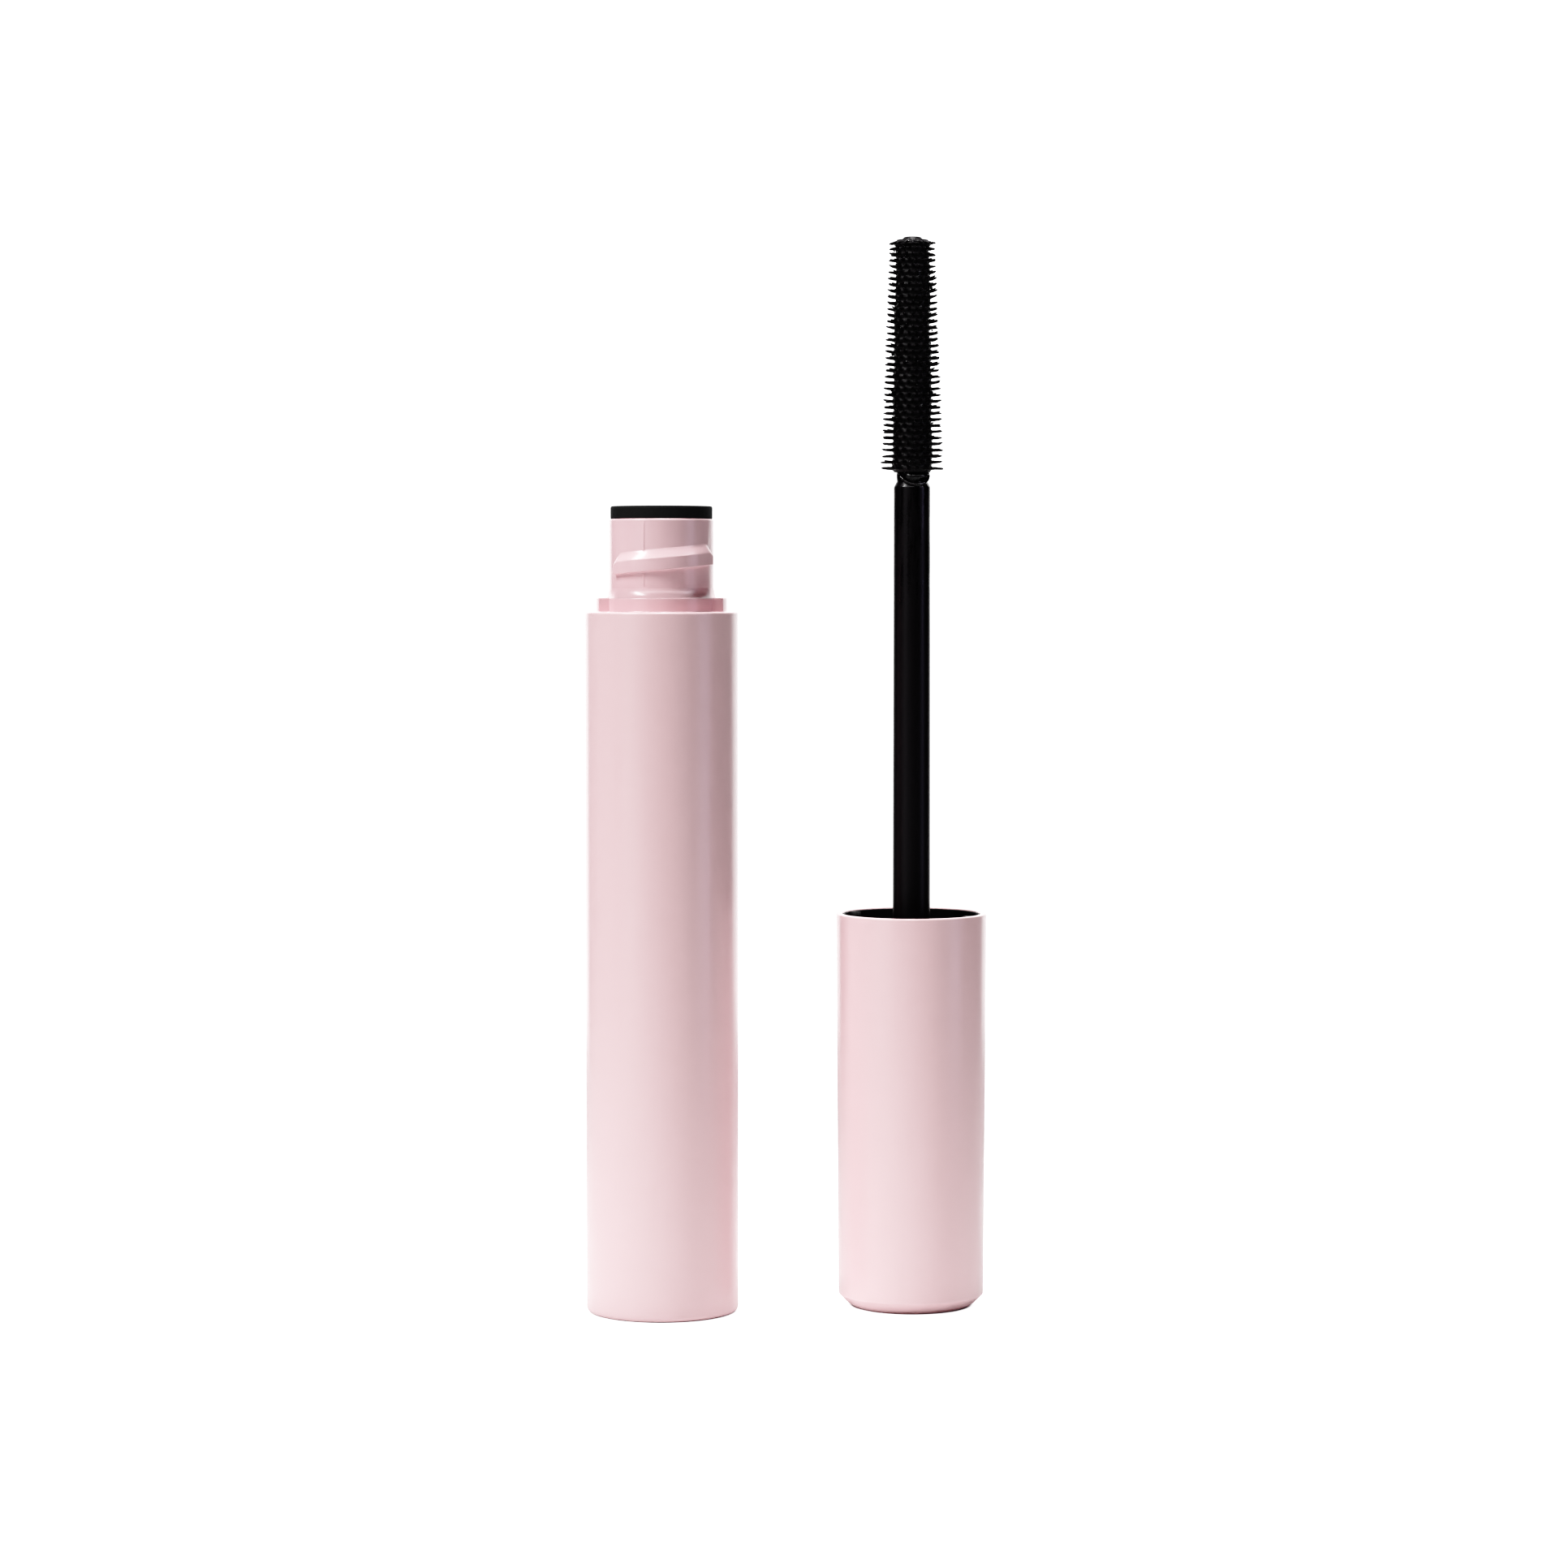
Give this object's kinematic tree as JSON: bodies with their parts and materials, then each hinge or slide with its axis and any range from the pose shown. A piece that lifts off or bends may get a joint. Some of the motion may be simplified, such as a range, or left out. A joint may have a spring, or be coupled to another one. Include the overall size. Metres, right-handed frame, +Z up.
{
  "type": "mascara tube",
  "caption": "Slim round mascara tube with a threaded neck and wiper, and its wand drawn out and stood on its cap beside it.",
  "frame": {"origin": "centre of the tube's base, in the plane that the tube and the cap stand on", "axes": "+Z up along the tube's axis, +X from the tube towards the wand"},
  "size_m": [0.0465, 0.0213, 0.1243],
  "materials": {
    "pink_gloss": "glossy pale pink",
    "pink_neck": "glossy pale pink, moulded",
    "black_wiper": "soft black",
    "black_liner": "plain black, moulded",
    "black_stem": "satin black",
    "black_brush": "black, wet with the filling",
    "wet_black": "wet black paste",
    "label": "plain satin film"
  },
  "bodies": {
    "tube": {"sleeve": "pink_gloss", "vial": "pink_neck", "wiper": "black_wiper", "mascara_fill": "wet_black", "base_label": "label"},
    "wand": {"cap_shell": "pink_gloss", "cap_liner": "black_liner", "stem": "black_stem", "brush_core": "black_brush", "bristles": "black_brush"}
  },
  "joints": [
    {"name": "wand_flip", "type": "hinge", "parent": "tube", "child": "wand", "pos_m": [0.01448, 0.0019, 0.1104], "axis": [0.1301, -0.9915, 0], "range_deg": [0, 180]}
  ]
}
